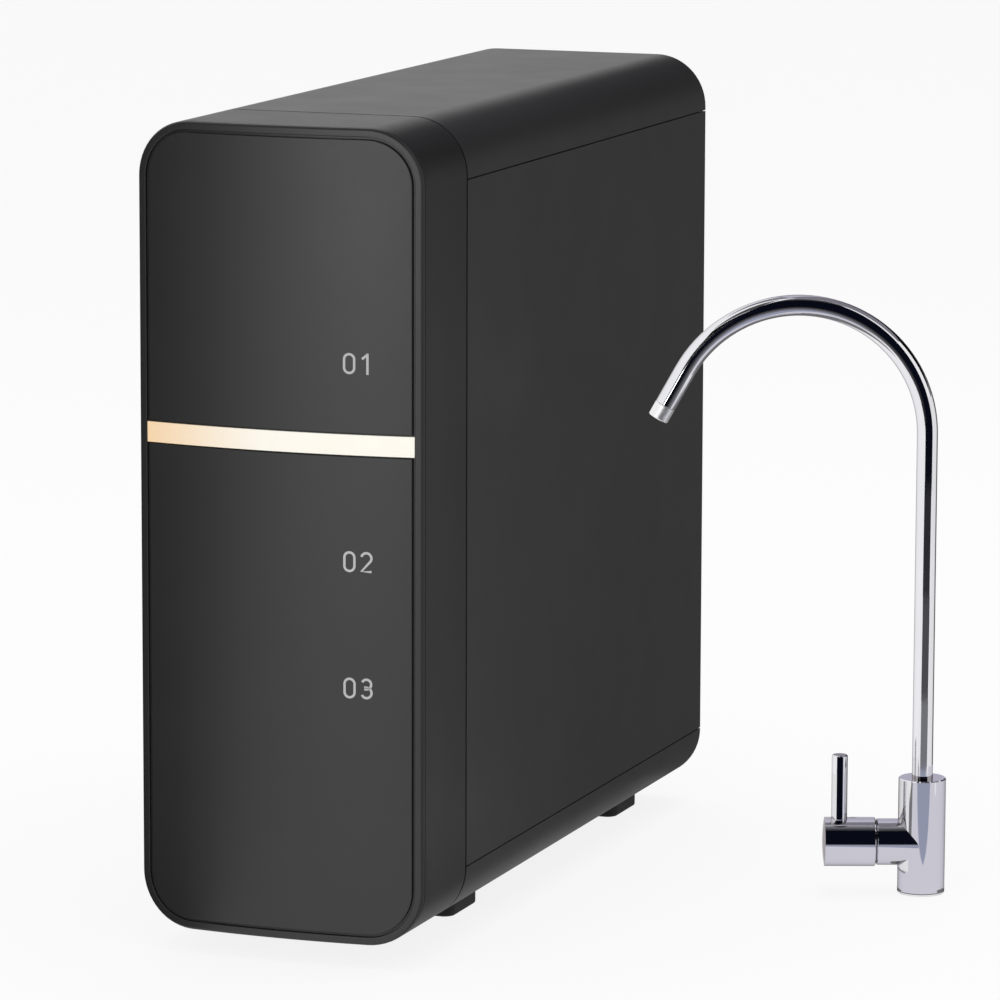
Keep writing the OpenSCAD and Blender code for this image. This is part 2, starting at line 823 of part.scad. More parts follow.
module twist_cap(z) {
    r = cartridge_d/2;
    spigot_r = r - cartridge_wall - fit_gap/2;
    half = grip_l/2 - grip_w/2;
    color(filter_white) {
        turned_y(z) polygon([
            [0, cap_y], [r - 2*edge, cap_y], [r, cap_y + 2*edge], [r, housing_y0], [spigot_r, housing_y0],
            [spigot_r, housing_y0 + cap_spigot_l], [0, housing_y0 + cap_spigot_l]
        ]);
        translate([-half, grip_y, z - grip_w/2]) cube([2*half, grip_h + clear, grip_w]);
        for (x = [-1, 1]) bar_y([x*half, z - mid_z], grip_w, grip_y, cap_y + clear);
    }
}

// Round element between two diameters
module element(z, outer_d, inner_d) {
    turned_y(z) translate([inner_d/2, element_y0]) square([(outer_d - inner_d)/2, element_y1 - element_y0]);
}

// Front and rear end caps; the rear one has the outlet pipe
module end_caps(z) {
    pipe_y1 = neck_y - shoulder_gap;
    color(fitting_white) {
        bar_y([0, z - mid_z], end_cap_d, element_y0 - end_cap_t, element_y0);
        difference() {
            union() {
                bar_y([0, z - mid_z], end_cap_d, element_y1, element_y1 + end_cap_t);
                bar_y([0, z - mid_z], outlet_pipe_d, element_y1, pipe_y1);
            }
            bar_y([0, z - mid_z], outlet_pipe_d - 2*outlet_pipe_wall, element_y1 - clear, pipe_y1 + clear);
        }
    }
}

module neck_rings(z) {
    color(seal_black) for (y = neck_ring_spots) {
        turned_y(z) translate([neck_ring_r, y]) circle(d = neck_ring_d);
    }
}

module composite_housing() {
    housing(stage_z[0]);
}

module composite_twist_cap() {
    twist_cap(stage_z[0]);
}

module composite_wrap() {
    color(media_cream) element(stage_z[0], element_d, core_d);
}

module composite_core() {
    color(carbon_black) element(stage_z[0], core_d, element_bore_d);
}

module composite_end_caps() {
    end_caps(stage_z[0]);
}

module composite_o_rings() {
    neck_rings(stage_z[0]);
}

module membrane_housing() {
    housing(stage_z[1]);
}

module membrane_twist_cap() {
    twist_cap(stage_z[1]);
}

module membrane_bundle() {
    color(membrane_white) element(stage_z[1], element_d, 0);
}

module membrane_end_caps() {
    end_caps(stage_z[1]);
}

module membrane_o_rings() {
    neck_rings(stage_z[1]);
}

module carbon_housing() {
    housing(stage_z[2]);
}

module carbon_twist_cap() {
    twist_cap(stage_z[2]);
}

module carbon_block() {
    color(carbon_black) element(stage_z[2], element_d, element_bore_d);
}

module carbon_end_caps() {
    end_caps(stage_z[2]);
}

module carbon_o_rings() {
    neck_rings(stage_z[2]);
}

// Tap

module at_tap() {
    translate([tap_x, tap_back, 0]) rotate([0, 0, tap_turn]) children();
}

// Lays a piece drawn along Z on the valve axis, from the tap axis out to the handle
module on_valve() {
    at_tap() translate([0, 0, valve_z]) rotate([0, -90, 0]) children();
}

// Round ring or bar about Z between two heights
module collar(outer_d, inner_d, z0, z1) {
    difference() {
        translate([0, 0, z0]) cylinder(d = outer_d, h = z1 - z0);
        translate([0, 0, z0 - clear]) cylinder(d = inner_d, h = z1 - z0 + 2*clear);
    }
}

module tap_body() {
    spout_bore = spout_d + 2*run_gap;
    clip_groove_d = spout_d + 4*clip_grip;
    color(chrome) difference() {
        union() {
            at_tap() turned_bar(tap_d, tap_h);
            on_valve() turned_bar(valve_boss_d, valve_boss_l);
        }
        at_tap() {
            translate([0, 0, -clear]) cylinder(d = inlet_thread_d, h = inlet_thread_l + clear);
            cylinder(d = port_d, h = valve_z - port_rise);
            translate([0, 0, valve_z + port_rise]) cylinder(d = port_d, h = spout_floor);
            translate([0, 0, spout_floor]) cylinder(d = spout_bore, h = spout_socket_l + clear);
            translate([0, 0, clip_z - ring_gap]) cylinder(d = clip_groove_d, h = clip_t + 2*ring_gap);
            collar(base_seal_out, base_seal_in, -clear, base_seal_t);
        }
        on_valve() {
            translate([0, 0, chamber_floor]) cylinder(d = valve_d, h = valve_boss_l);
            for (rise = [-1, 1]) translate([rise*port_rise, 0, 0]) cylinder(d = port_d, h = chamber_floor + clear);
        }
    }
}

module tap_base_seal() {
    color(rubber_black) at_tap() {
        collar(base_seal_out - 2*ring_gap, base_seal_in + 2*ring_gap, 0, base_seal_t - ring_gap);
    }
}

module valve_cartridge() {
    body_d = valve_d - 2*ring_gap;
    ring_z = valve_boss_l - 2*spout_ring_d;
    color(brass) on_valve() difference() {
        union() {
            translate([0, 0, fixed_disc_end]) cylinder(d = body_d, h = valve_boss_l - fixed_disc_end);
            translate([0, 0, valve_boss_l]) cylinder(d = valve_nose_d, h = valve_nose_l);
        }
        translate([0, 0, fixed_disc_end - clear])
            cylinder(d = valve_cavity_d, h = disc_t + driver_t + clear + 2*pass_gap);
        cylinder(d = stem_d + 2*run_gap, h = valve_boss_l + valve_nose_l + clear);
        collar(valve_d + clear, body_d - 2*spout_ring_d, ring_z - spout_ring_d/2, ring_z + spout_ring_d/2);
    }
}

module valve_fixed_disc() {
    color(ceramic) on_valve() difference() {
        translate([0, 0, chamber_floor + seat_t]) cylinder(d = valve_d - 2*ring_gap, h = disc_t);
        for (rise = [-1, 1]) translate([rise*port_rise, 0, 0]) cylinder(d = port_d, h = 2*fixed_disc_end);
    }
}

module valve_seals() {
    ring_z = valve_boss_l - 2*spout_ring_d;
    color(seal_black) on_valve() {
        collar(valve_d - 2*ring_gap, 2*port_rise + port_d + clear, chamber_floor, chamber_floor + seat_t);
        seal_ring(valve_d/2 - spout_ring_d/2 - ring_gap, spout_ring_d - 2*ring_gap, ring_z);
    }
}

module handle_knob() {
    dome_r = (pow(knob_d/2, 2) + pow(knob_dome, 2))/(2*knob_dome);
    color(chrome) on_valve() difference() {
        intersection() {
            translate([0, 0, knob_y]) turned_bar(knob_d, knob_l + knob_dome);
            translate([0, 0, knob_end + knob_dome - dome_r]) sphere(r = dome_r, $fn = bow_fn);
        }
        translate([0, 0, knob_y - clear]) cylinder(d = valve_nose_d + 4*pass_gap, h = knob_cavity_l + clear);
        translate([0, 0, knob_y]) cylinder(d = stem_d + 2*ring_gap, h = stem_end - knob_y + ring_gap);
        translate([pin_seat, 0, pin_at]) rotate([0, 90, 0]) cylinder(d = pin_d + 2*ring_gap, h = knob_d);
        translate([pin_seat - pin_stud_l - ring_gap, 0, pin_at]) rotate([0, 90, 0])
            cylinder(d = pin_stud_d + 2*ring_gap, h = knob_d);
        translate([0, 0, grub_at]) rotate([0, -90, 0]) cylinder(d = grub_d + 2*ring_gap, h = knob_d);
    }
}

module lever_pin() {
    color(chrome) on_valve() translate([pin_seat, 0, pin_at]) rotate([0, 90, 0]) {
        turned_bar(pin_d, pin_h - pin_seat);
        translate([0, 0, -pin_stud_l]) cylinder(d = pin_stud_d, h = pin_stud_l + clear);
    }
}

module handle_grub_screw() {
    key_d = grub_d/2;
    grub_l = knob_d/2 - stem_d/2 - 2*clear;
    color(steel) on_valve() translate([-stem_d/2 - ring_gap, 0, grub_at]) rotate([0, -90, 0]) difference() {
        cylinder(d = grub_d, h = grub_l);
        translate([0, 0, grub_l - key_d]) cylinder(d = key_d, h = grub_d, $fn = 6);
    }
}

module valve_stem() {
    color(brass) on_valve() {
        translate([0, 0, moving_disc_end]) cylinder(d = valve_cavity_d - 2*pass_gap, h = driver_t);
        translate([0, 0, moving_disc_end]) cylinder(d = stem_d, h = stem_end - moving_disc_end);
    }
}

module valve_moving_disc() {
    disc_d = valve_cavity_d - 2*pass_gap;
    color(ceramic) on_valve() difference() {
        translate([0, 0, moving_disc_start]) cylinder(d = disc_d, h = disc_t);
        translate([0, -port_d/2, moving_disc_start - clear]) cube([disc_d, port_d, disc_t/2 + clear]);
    }
}

// Lays a piece drawn along Z on the straight length after the gooseneck
module at_bend_end() {
    translate([-spout_r, 0, riser_z]) rotate([0, -spout_sweep, 0]) translate([spout_r, 0, 0]) children();
}

// Line of the spout from a height on its riser to a length past the gooseneck
module spout_line(d, z0, end_l) {
    translate([0, 0, z0]) cylinder(d = d, h = riser_z - z0);
    translate([-spout_r, 0, riser_z]) rotate([90, 0, 0])
        rotate_extrude(angle = spout_sweep) translate([spout_r, 0]) circle(d = d);
    at_bend_end() translate([0, 0, -fuse]) cylinder(d = d + 2*bend_swell, h = end_l + fuse);
}

module spout_tube() {
    tube_l = spout_end_l - tip_l;
    color(chrome) at_tap() difference() {
        spout_line(spout_d, spout_z, tube_l);
        spout_line(spout_d - 2*spout_wall, spout_z - clear, tube_l + clear);
    }
}

module spout_tip() {
    inner_d = spout_d - 2*spout_wall - 2*ring_gap;
    color(chrome) at_tap() at_bend_end()
        translate([0, 0, spout_end_l - tip_l]) difference() {
            union() {
                turned_bar(spout_d, tip_l);
                translate([0, 0, -nipple_reach]) cylinder(d = inner_d, h = nipple_reach + clear);
            }
            translate([0, 0, -nipple_reach - clear]) cylinder(d = inner_d - 2*spout_wall, h = tip_l + 2*nipple_reach);
        }
}

module spout_spigot() {
    inner_d = spout_d - 2*spout_wall - 2*ring_gap;
    ring_floor = spout_d - 2*spout_ring_d;
    color(brass) at_tap() difference() {
        union() {
            translate([0, 0, spigot_z]) cylinder(d = spout_d, h = spigot_l);
            translate([0, 0, spout_z - clear]) cylinder(d = inner_d, h = nipple_reach + clear);
        }
        translate([0, 0, spigot_z - clear]) cylinder(d = port_d, h = spigot_l + nipple_reach + 2*clear);
        for (z = spout_ring_spots) {
            collar(spout_d + clear, ring_floor, z - spout_ring_d/2 - ring_gap, z + spout_ring_d/2 + ring_gap);
        }
        collar(spout_d + clear, spout_d - 2*clip_grip, clip_z - ring_gap, clip_z + clip_t + ring_gap);
    }
}

module spout_o_rings() {
    color(seal_black) at_tap() for (z = spout_ring_spots) seal_ring(spout_ring_r, spout_ring_d, z);
}

module spout_clip() {
    outer_d = spout_d + 4*clip_grip - 2*pass_gap;
    color(steel) at_tap() difference() {
        collar(outer_d, spout_d - 2*clip_grip + 2*ring_gap, clip_z, clip_z + clip_t);
        translate([0, -clip_slot/2, clip_z - clear]) cube([outer_d, clip_slot, clip_t + 2*clear]);
    }
}

front_frame();
cartridge_fascia();
cover_grommets();
fascia_screws();
top_cover();
base_tray();
left_side_panel();
right_side_panel();
rear_panel();
rear_screws();
front_left_foot();
front_right_foot();
rear_left_foot();
rear_right_foot();
cover_carrier();
upper_front_panel();
lower_front_panel();
trim_strip();
water_manifold();
inlet_fitting();
inlet_seal();
inlet_collet();
outlet_fitting();
outlet_seal();
outlet_collet();
composite_housing();
composite_twist_cap();
composite_wrap();
composite_core();
composite_end_caps();
composite_o_rings();
membrane_housing();
membrane_twist_cap();
membrane_bundle();
membrane_end_caps();
membrane_o_rings();
carbon_housing();
carbon_twist_cap();
carbon_block();
carbon_end_caps();
carbon_o_rings();
tap_body();
tap_base_seal();
valve_cartridge();
valve_fixed_disc();
valve_seals();
handle_knob();
lever_pin();
handle_grub_screw();
valve_stem();
valve_moving_disc();
spout_tube();
spout_tip();
spout_spigot();
spout_o_rings();
spout_clip();
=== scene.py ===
"""Looks of a slim water purifier and the gooseneck tap of its set."""

import json
import math

import bmesh
import bpy
from mathutils import Matrix, Vector

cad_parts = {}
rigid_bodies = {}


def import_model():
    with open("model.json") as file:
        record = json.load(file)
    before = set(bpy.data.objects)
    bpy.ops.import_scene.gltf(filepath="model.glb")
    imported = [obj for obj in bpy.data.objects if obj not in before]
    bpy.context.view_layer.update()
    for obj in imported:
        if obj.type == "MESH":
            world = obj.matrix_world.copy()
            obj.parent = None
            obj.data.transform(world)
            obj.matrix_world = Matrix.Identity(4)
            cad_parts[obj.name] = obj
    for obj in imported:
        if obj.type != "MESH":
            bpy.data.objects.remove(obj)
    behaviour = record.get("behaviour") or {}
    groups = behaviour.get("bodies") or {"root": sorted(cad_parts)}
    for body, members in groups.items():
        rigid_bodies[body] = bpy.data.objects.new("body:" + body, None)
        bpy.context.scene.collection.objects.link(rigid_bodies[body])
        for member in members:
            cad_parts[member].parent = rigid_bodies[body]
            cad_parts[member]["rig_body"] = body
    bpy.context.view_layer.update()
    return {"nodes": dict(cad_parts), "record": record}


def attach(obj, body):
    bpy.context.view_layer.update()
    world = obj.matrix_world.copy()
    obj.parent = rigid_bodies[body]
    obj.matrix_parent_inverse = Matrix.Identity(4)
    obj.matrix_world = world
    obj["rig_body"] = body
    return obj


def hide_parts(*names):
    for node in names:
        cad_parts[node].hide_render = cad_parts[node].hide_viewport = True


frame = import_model()
nodes = frame["nodes"]
scene = bpy.context.scene
slot_of = {part["node"]: part["material_slot"] for part in frame["record"]["subparts"]}

# Sizes in metres, as in the part's own frame
MM = 0.001
CASE_W = 150 * MM
CASE_H = 404 * MM
CORNER_R = 28 * MM
MID_Z = 214 * MM
FRONT_Y = -214 * MM
FRONT_BOW = 6.3 * MM
BOW_R = ((CASE_W / 2) ** 2 + FRONT_BOW ** 2) / (2 * FRONT_BOW)

# Camera that matches the photograph
CAMERA_AT = Vector((1.09143, -2.83641, 0.70564))
CAMERA_YAW = math.radians(20.428)
CAMERA_PITCH = math.radians(9.482)
CAMERA_ROLL = math.radians(0.168)
CAMERA_LENS = 211.44
CAMERA_SENSOR = 36.0
CAMERA_REACH = 100


def front_y(x):
    """Y of the bowed front at a place across it."""
    return FRONT_Y - FRONT_BOW + BOW_R - math.sqrt(BOW_R ** 2 - x ** 2)


def inset(x, z):
    """How far a place lies inside the outline of the front."""
    across = abs(x) - CASE_W / 2 + CORNER_R
    up = abs(z - MID_Z) - CASE_H / 2 + CORNER_R
    if across > 0 and up > 0:
        return CORNER_R - math.hypot(across, up)
    return CORNER_R - max(across, up)


# Material helpers

# Most of a noise's values lie between these two
NOISE_LOW = 0.3
NOISE_HIGH = 0.7

# Patches per metre
PLASTIC_TONE = 14
PLASTIC_WEAR = 32
METAL_TONE = 25
LACQUER_TONE = 40

# Wander of the strip's painted highlight, and brushing marks of the strip
HIGHLIGHT_WANDER = 0.03
LACQUER_WEAR = 0.04
MARK_STRETCH = (0.02, 1, 1)
MARK_DEPTH = 0.003 * MM


def new_material(name, base, roughness, metallic=0.0):
    """A node material with its own Principled shader, and that shader."""
    material = bpy.data.materials.new(name)
    material.use_nodes = True
    shader = material.node_tree.nodes["Principled BSDF"]
    shader.inputs["Base Color"].default_value = (*base, 1)
    shader.inputs["Roughness"].default_value = roughness
    shader.inputs["Metallic"].default_value = metallic
    return material, shader


def noise(tree, scale, detail=3.0, stretch=(1, 1, 1)):
    """Value of a noise in the object's own metres, about 1/scale across."""
    place = tree.nodes.new("ShaderNodeTexCoord")
    mapping = tree.nodes.new("ShaderNodeMapping")
    mapping.inputs["Scale"].default_value = stretch
    texture = tree.nodes.new("ShaderNodeTexNoise")
    texture.inputs["Scale"].default_value = scale
    texture.inputs["Detail"].default_value = detail
    tree.links.new(place.outputs["Object"], mapping.inputs["Vector"])
    tree.links.new(mapping.outputs["Vector"], texture.inputs["Vector"])
    return texture.outputs["Fac"]


def spread(tree, value, low, high, start=NOISE_LOW, end=NOISE_HIGH):
    """Maps a value from one range onto another."""
    ranged = tree.nodes.new("ShaderNodeMapRange")
    ranged.inputs["From Min"].default_value = start
    ranged.inputs["From Max"].default_value = end
    ranged.inputs["To Min"].default_value = low
    ranged.inputs["To Max"].default_value = high
    tree.links.new(value, ranged.inputs["Value"])
    return ranged.outputs["Result"]


def tint(tree, shader, value, dark, light):
    """Lets the base colour drift between two tones."""
    ramp = tree.nodes.new("ShaderNodeValToRGB")
    ramp.color_ramp.elements[0].position = NOISE_LOW
    ramp.color_ramp.elements[0].color = (*dark, 1)
    ramp.color_ramp.elements[1].position = NOISE_HIGH
    ramp.color_ramp.elements[1].color = (*light, 1)
    tree.links.new(value, ramp.inputs["Fac"])
    tree.links.new(ramp.outputs["Color"], shader.inputs["Base Color"])


def relief(tree, shader, value, depth):
    """Fine surface relief of the given depth in metres."""
    bump = tree.nodes.new("ShaderNodeBump")
    bump.inputs["Distance"].default_value = depth
    bump.inputs["Strength"].default_value = 1.0
    tree.links.new(value, bump.inputs["Height"])
    tree.links.new(bump.outputs["Normal"], shader.inputs["Normal"])


def moulded(name, base, roughness, drift=0.04, grain=1600, depth=0.02 * MM, handling=0.015, gloss=0.5):
    """Moulded plastic or rubber: a drifting tone, spark-eroded grain and faintly handled areas."""
    material, shader = new_material(name, base, roughness)
    shader.inputs["Specular IOR Level"].default_value = gloss
    tree = material.node_tree
    dark = [c * (1 - drift) for c in base]
    light = [c * (1 + drift) for c in base]
    tint(tree, shader, noise(tree, PLASTIC_TONE), dark, light)
    handled = spread(tree, noise(tree, PLASTIC_WEAR, 5), roughness - handling, roughness + handling)
    tree.links.new(handled, shader.inputs["Roughness"])
    relief(tree, shader, noise(tree, grain, 2), depth)
    return material


def plated(name, base, roughness, grain=700, depth=0.002 * MM, handling=0.02, drift=0.03, rim=(1, 1, 1)):
    """Metal with fine polishing or brushing marks."""
    material, shader = new_material(name, base, roughness, metallic=1.0)
    tree = material.node_tree
    tint(tree, shader, noise(tree, METAL_TONE), [c * (1 - drift) for c in base], base)
    shader.inputs["Specular Tint"].default_value = (*rim, 1)
    marks = noise(tree, grain)
    handled = spread(tree, marks, roughness - handling, roughness + handling)
    tree.links.new(handled, shader.inputs["Roughness"])
    relief(tree, shader, marks, depth)
    return material


def brushed(name, base, highlight_tone, highlight_run, roughness, stretch, brushing):
    """Lacquered strip brushed along its length, whose colour pales between two places across the case as a
    painted highlight.
    """
    material, shader = new_material(name, base, roughness)
    shader.inputs["Anisotropic"].default_value = stretch
    shader.inputs["Anisotropic Rotation"].default_value = 0.25
    tree = material.node_tree
    place = tree.nodes.new("ShaderNodeTexCoord")
    across = tree.nodes.new("ShaderNodeSeparateXYZ")
    tree.links.new(place.outputs["Object"], across.inputs[0])
    # painted highlight: the base colour pales towards a whiter tone from left to right across the case,
    # standing for the light on the strip
    along = spread(tree, across.outputs["X"], NOISE_LOW, NOISE_HIGH - HIGHLIGHT_WANDER, *highlight_run)
    wander = spread(tree, noise(tree, LACQUER_TONE), 0.0, HIGHLIGHT_WANDER)
    highlight_fade = tree.nodes.new("ShaderNodeMath")
    highlight_fade.operation = "ADD"
    tree.links.new(along, highlight_fade.inputs[0])
    tree.links.new(wander, highlight_fade.inputs[1])
    tint(tree, shader, highlight_fade.outputs[0], base, highlight_tone)
    marks = noise(tree, brushing, 3, MARK_STRETCH)
    handled = spread(tree, marks, roughness - LACQUER_WEAR, roughness + LACQUER_WEAR)
    tree.links.new(handled, shader.inputs["Roughness"])
    relief(tree, shader, marks, MARK_DEPTH)
    return material


MATERIALS = {
    "case_shell": moulded("satin_black_grain", (0.020, 0.020, 0.021), 0.46,
                          grain=1500, depth=0.025 * MM),
    "front_panel": moulded("satin_black_smooth", (0.016, 0.016, 0.017), 0.34,
                           grain=2600, depth=0.008 * MM),
    # the trim's colour pales towards its right end as a painted highlight
    "trim": brushed("brushed_champagne_painted_highlight", (0.93, 0.65, 0.37), (0.98, 0.95, 0.86),
                    highlight_run=(-72 * MM, -8 * MM), roughness=0.5, stretch=0.8, brushing=900),
    "inner_plastic": moulded("moulded_grey", (0.24, 0.25, 0.26), 0.5),
    "rubber": moulded("moulded_rubber", (0.014, 0.014, 0.014), 0.72, grain=900, depth=0.05 * MM),
    "seal": moulded("seal_rubber", (0.012, 0.012, 0.012), 0.42, depth=0.01 * MM),
    "screw_steel": plated("zinc_plate", (0.62, 0.63, 0.65), 0.28,
                          grain=500, depth=0.01 * MM, handling=0.08),
    "filter_white": moulded("moulded_white", (0.78, 0.78, 0.75), 0.36, drift=0.03),
    "filter_fibre": moulded("spun_fibre", (0.80, 0.78, 0.70), 0.9,
                            drift=0.06, grain=500, depth=0.3 * MM),
    "filter_carbon": moulded("pressed_carbon", (0.022, 0.021, 0.020), 0.85,
                             grain=700, depth=0.2 * MM),
    "fitting_plastic": moulded("fitting_white", (0.72, 0.72, 0.70), 0.4, drift=0.03),
    "collet_plastic": moulded("collet_blue", (0.05, 0.15, 0.38), 0.38, drift=0.06),
    "tap_chrome": plated("polished_chrome", (0.82, 0.82, 0.85), 0.055,
                         grain=110, depth=0.015 * MM, handling=0.015, rim=(0.45, 0.42, 0.42)),
    # the brass is painted dark, as painted shade for the narrow gap where it shows
    "valve_brass": plated("brass_darkened_as_painted_shade", (0.30, 0.24, 0.15), 0.45,
                          grain=400, depth=0.01 * MM, handling=0.06),
    "valve_ceramic": moulded("lapped_ceramic", (0.82, 0.79, 0.72), 0.25, drift=0.03, depth=0.002 * MM),
}
FRAME = moulded("satin_black_frame", (0.012, 0.012, 0.0125), 0.46, grain=1500, depth=0.025 * MM, gloss=0.45)
TIP = plated("satin_chrome", (0.88, 0.88, 0.89), 0.42, grain=500, depth=0.004 * MM, handling=0.04)
INK = moulded("label_ink", (0.46, 0.46, 0.46), 0.55, drift=0.05, depth=0.004 * MM)

for node, slot in slot_of.items():
    nodes[node].data.materials.clear()
    nodes[node].data.materials.append(MATERIALS[slot])
nodes["spout_tip"].data.materials[0] = TIP


# Case and inner pieces with rounded edges

WELD = 0.002 * MM
FLAT = math.radians(0.3)
SHARP = math.radians(28)
CREASE = math.radians(40)
NEAR = 0.05 * MM
RIM_ROUNDING = 1.4 * MM
RIM_SEGMENTS = 8
EDGE_SEGMENTS = 3

# Rounding of each piece's sharp edges, in millimetres
EDGE_ROUNDING = {
    "front_frame": 0.4, "cover_carrier": 0.3, "upper_front_panel": 0.4, "lower_front_panel": 0.4,
    "trim_strip": 0.3, "top_cover": 0.2, "base_tray": 0.2, "left_side_panel": 0.2,
    "right_side_panel": 0.2, "rear_panel": 0.4, "front_left_foot": 1.2, "front_right_foot": 1.2,
    "rear_left_foot": 1.2, "rear_right_foot": 1.2, "cartridge_fascia": 0.5, "cover_grommets": 0.4,
    "composite_twist_cap": 1.2, "membrane_twist_cap": 1.2, "carbon_twist_cap": 1.2,
    "inlet_fitting": 0.4, "outlet_fitting": 0.4, "inlet_collet": 0.4, "outlet_collet": 0.4,
    "rear_screws": 0.15, "fascia_screws": 0.15,
}


def round_off(work, edges, width, segments):
    """Rounds edges of a mesh in work."""
    bmesh.ops.bevel(work, geom=edges, offset=width, offset_type="OFFSET", segments=segments,
                    profile=0.5, affect="EDGES", clamp_overlap=False)


def on_front_edge(place):
    """True on the line where the bowed front meets the sides of the case."""
    return abs(place.y - front_y(place.x)) < NEAR and abs(inset(place.x, place.z)) < NEAR


def softened(node, width):
    """Copy of a CAD piece with its sharp edges rounded, which stands for that piece."""
    mesh = nodes[node].data.copy()
    mesh.attributes.remove(mesh.attributes["custom_normal"])
    work = bmesh.new()
    work.from_mesh(mesh)
    bmesh.ops.remove_doubles(work, verts=work.verts, dist=WELD)
    bmesh.ops.dissolve_limit(work, angle_limit=FLAT, verts=work.verts, edges=work.edges)
    rim = [e for e in work.edges if all(on_front_edge(v.co) for v in e.verts)]
    if rim:
        round_off(work, rim, RIM_ROUNDING, RIM_SEGMENTS)
    edges = [e for e in work.edges if e.is_manifold and e.calc_face_angle() > SHARP]
    round_off(work, edges, width, EDGE_SEGMENTS)
    work.to_mesh(mesh)
    work.free()
    mesh.shade_smooth()
    mesh.set_sharp_from_angle(angle=CREASE)
    piece = bpy.data.objects.new(node + "_shell", mesh)
    scene.collection.objects.link(piece)
    weighted = piece.modifiers.new("even_faces", "WEIGHTED_NORMAL")
    weighted.keep_sharp = True
    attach(piece, nodes[node]["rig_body"])
    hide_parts(node)
    return piece


shells = {node: softened(node, width * MM) for node, width in EDGE_ROUNDING.items()}

# The front frame is a little darker than the shell behind it
shells["front_frame"].data.materials[0] = FRAME

# The rim of the cover is as smooth as the panels that it frames
shells["cover_carrier"].data.materials[0] = MATERIALS["front_panel"]


# Printed stage numerals on the front

LABEL_RIGHT = 49.9 * MM
LABEL_MIDDLES = {"01": 301.4 * MM, "02": 203.8 * MM, "03": 141.0 * MM}
DIGIT_H = 10.4 * MM
DIGIT_W = 6.3 * MM
DIGIT_STEP = 8.6 * MM
STROKE = 1.2 * MM
INK_LIFT = 0.04 * MM
INK_ROOT = 0.05 * MM

# Shares of a digit's width and height: stem and flag of the 1
STEM_AT = 0.62
FLAG_AT = 0.08
FLAG_UP = 0.76

# Shares of half a digit's width: bowls and waist of the 3
UPPER_BOWL = 0.94
UPPER_BOWL_W = 0.92
LOWER_BOWL = 1.02
WAIST = 0.46


def arc(cx, cy, rx, ry, start, end, steps=28):
    """Points along an ellipse from one angle to another, in degrees."""
    turns = [math.radians(start + (end - start) * k / steps) for k in range(steps + 1)]
    return [(cx + rx * math.cos(t), cy + ry * math.sin(t)) for t in turns]


def digit_lines(digit):
    """Middle lines of a digit's strokes, from the digit's lower left corner."""
    w = DIGIT_W - STROKE
    h = DIGIT_H - STROKE
    r = w / 2
    if digit == "0":
        return [arc(r, h - r, r, r, 0, 180) + arc(r, r, r, r, 180, 360) + [(w, h - r)]]
    if digit == "1":
        stem = [(STEM_AT * w, h + STROKE / 2), (STEM_AT * w, -STROKE / 2)]
        flag = [(FLAG_AT * w, FLAG_UP * h), (STEM_AT * w, h)]
        return [stem, flag]
    if digit == "2":
        return [arc(r, h - r, r, r, 165, -35) + [(0, 0), (w, 0)]]
    top = arc(r, h - r * UPPER_BOWL, r * UPPER_BOWL_W, r * UPPER_BOWL, 155, -90)
    low = arc(r, r * LOWER_BOWL, r, r * LOWER_BOWL, 90, -155)
    waist = r - WAIST * r
    return [top[:-1] + [(waist, h - 2 * UPPER_BOWL * r)], [(waist, 2 * LOWER_BOWL * r)] + low[1:]]


def ribbon(work, line, x0, z0):
    """Flat stroke along a line, laid on the bowed front."""
    rows = []
    for k, point in enumerate(line):
        before = Vector(line[max(k - 1, 0)])
        after = Vector(line[min(k + 1, len(line) - 1)])
        side = (after - before).normalized().orthogonal() * STROKE / 2
        row = []
        for way in (-1, 1):
            x = x0 + point[0] + way * side.x
            z = z0 + point[1] + way * side.y
            row += [work.verts.new((x, front_y(x) + depth, z)) for depth in (-INK_LIFT, INK_ROOT)]
        rows.append(row)
    for a, b in zip(rows, rows[1:]):
        for i, j in ((0, 2), (2, 3), (3, 1), (1, 0)):
            work.faces.new((a[i], a[j], b[j], b[i]))
    for row in (rows[0], rows[-1]):
        work.faces.new((row[0], row[1], row[3], row[2]))


def make_label(text, middle):
    """Numeral that ends at the labels' right side, at a height, and rides on the front cover."""
    work = bmesh.new()
    left = LABEL_RIGHT - DIGIT_STEP * (len(text) - 1) - DIGIT_W + STROKE / 2
    for k, digit in enumerate(text):
        for line in digit_lines(digit):
            ribbon(work, line, left + k * DIGIT_STEP, middle - DIGIT_H / 2 + STROKE / 2)
    bmesh.ops.recalc_face_normals(work, faces=work.faces)
    mesh = bpy.data.meshes.new("numeral_" + text)
    work.to_mesh(mesh)
    work.free()
    mesh.materials.append(INK)
    label = bpy.data.objects.new("numeral_" + text, mesh)
    scene.collection.objects.link(label)
    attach(label, "front_cover")


for text, middle in LABEL_MIDDLES.items():
    make_label(text, middle)


# Camera

def make_camera():
    """Camera at the photograph's viewing angle."""
    lens = bpy.data.cameras.new("camera")
    lens.lens = CAMERA_LENS
    lens.sensor_width = CAMERA_SENSOR
    lens.clip_end = CAMERA_REACH
    camera = bpy.data.objects.new("camera", lens)
    turn = Matrix.Rotation(CAMERA_YAW, 4, "Z")
    tip = Matrix.Rotation(math.pi / 2 - CAMERA_PITCH, 4, "X")
    roll = Matrix.Rotation(CAMERA_ROLL, 4, "Z")
    camera.matrix_world = Matrix.Translation(CAMERA_AT) @ turn @ tip @ roll
    scene.collection.objects.link(camera)
    scene.camera = camera


make_camera()


# Studio

FLOOR_TONE = (0.86, 0.86, 0.86)
FLOOR_ROUGHNESS = 0.9


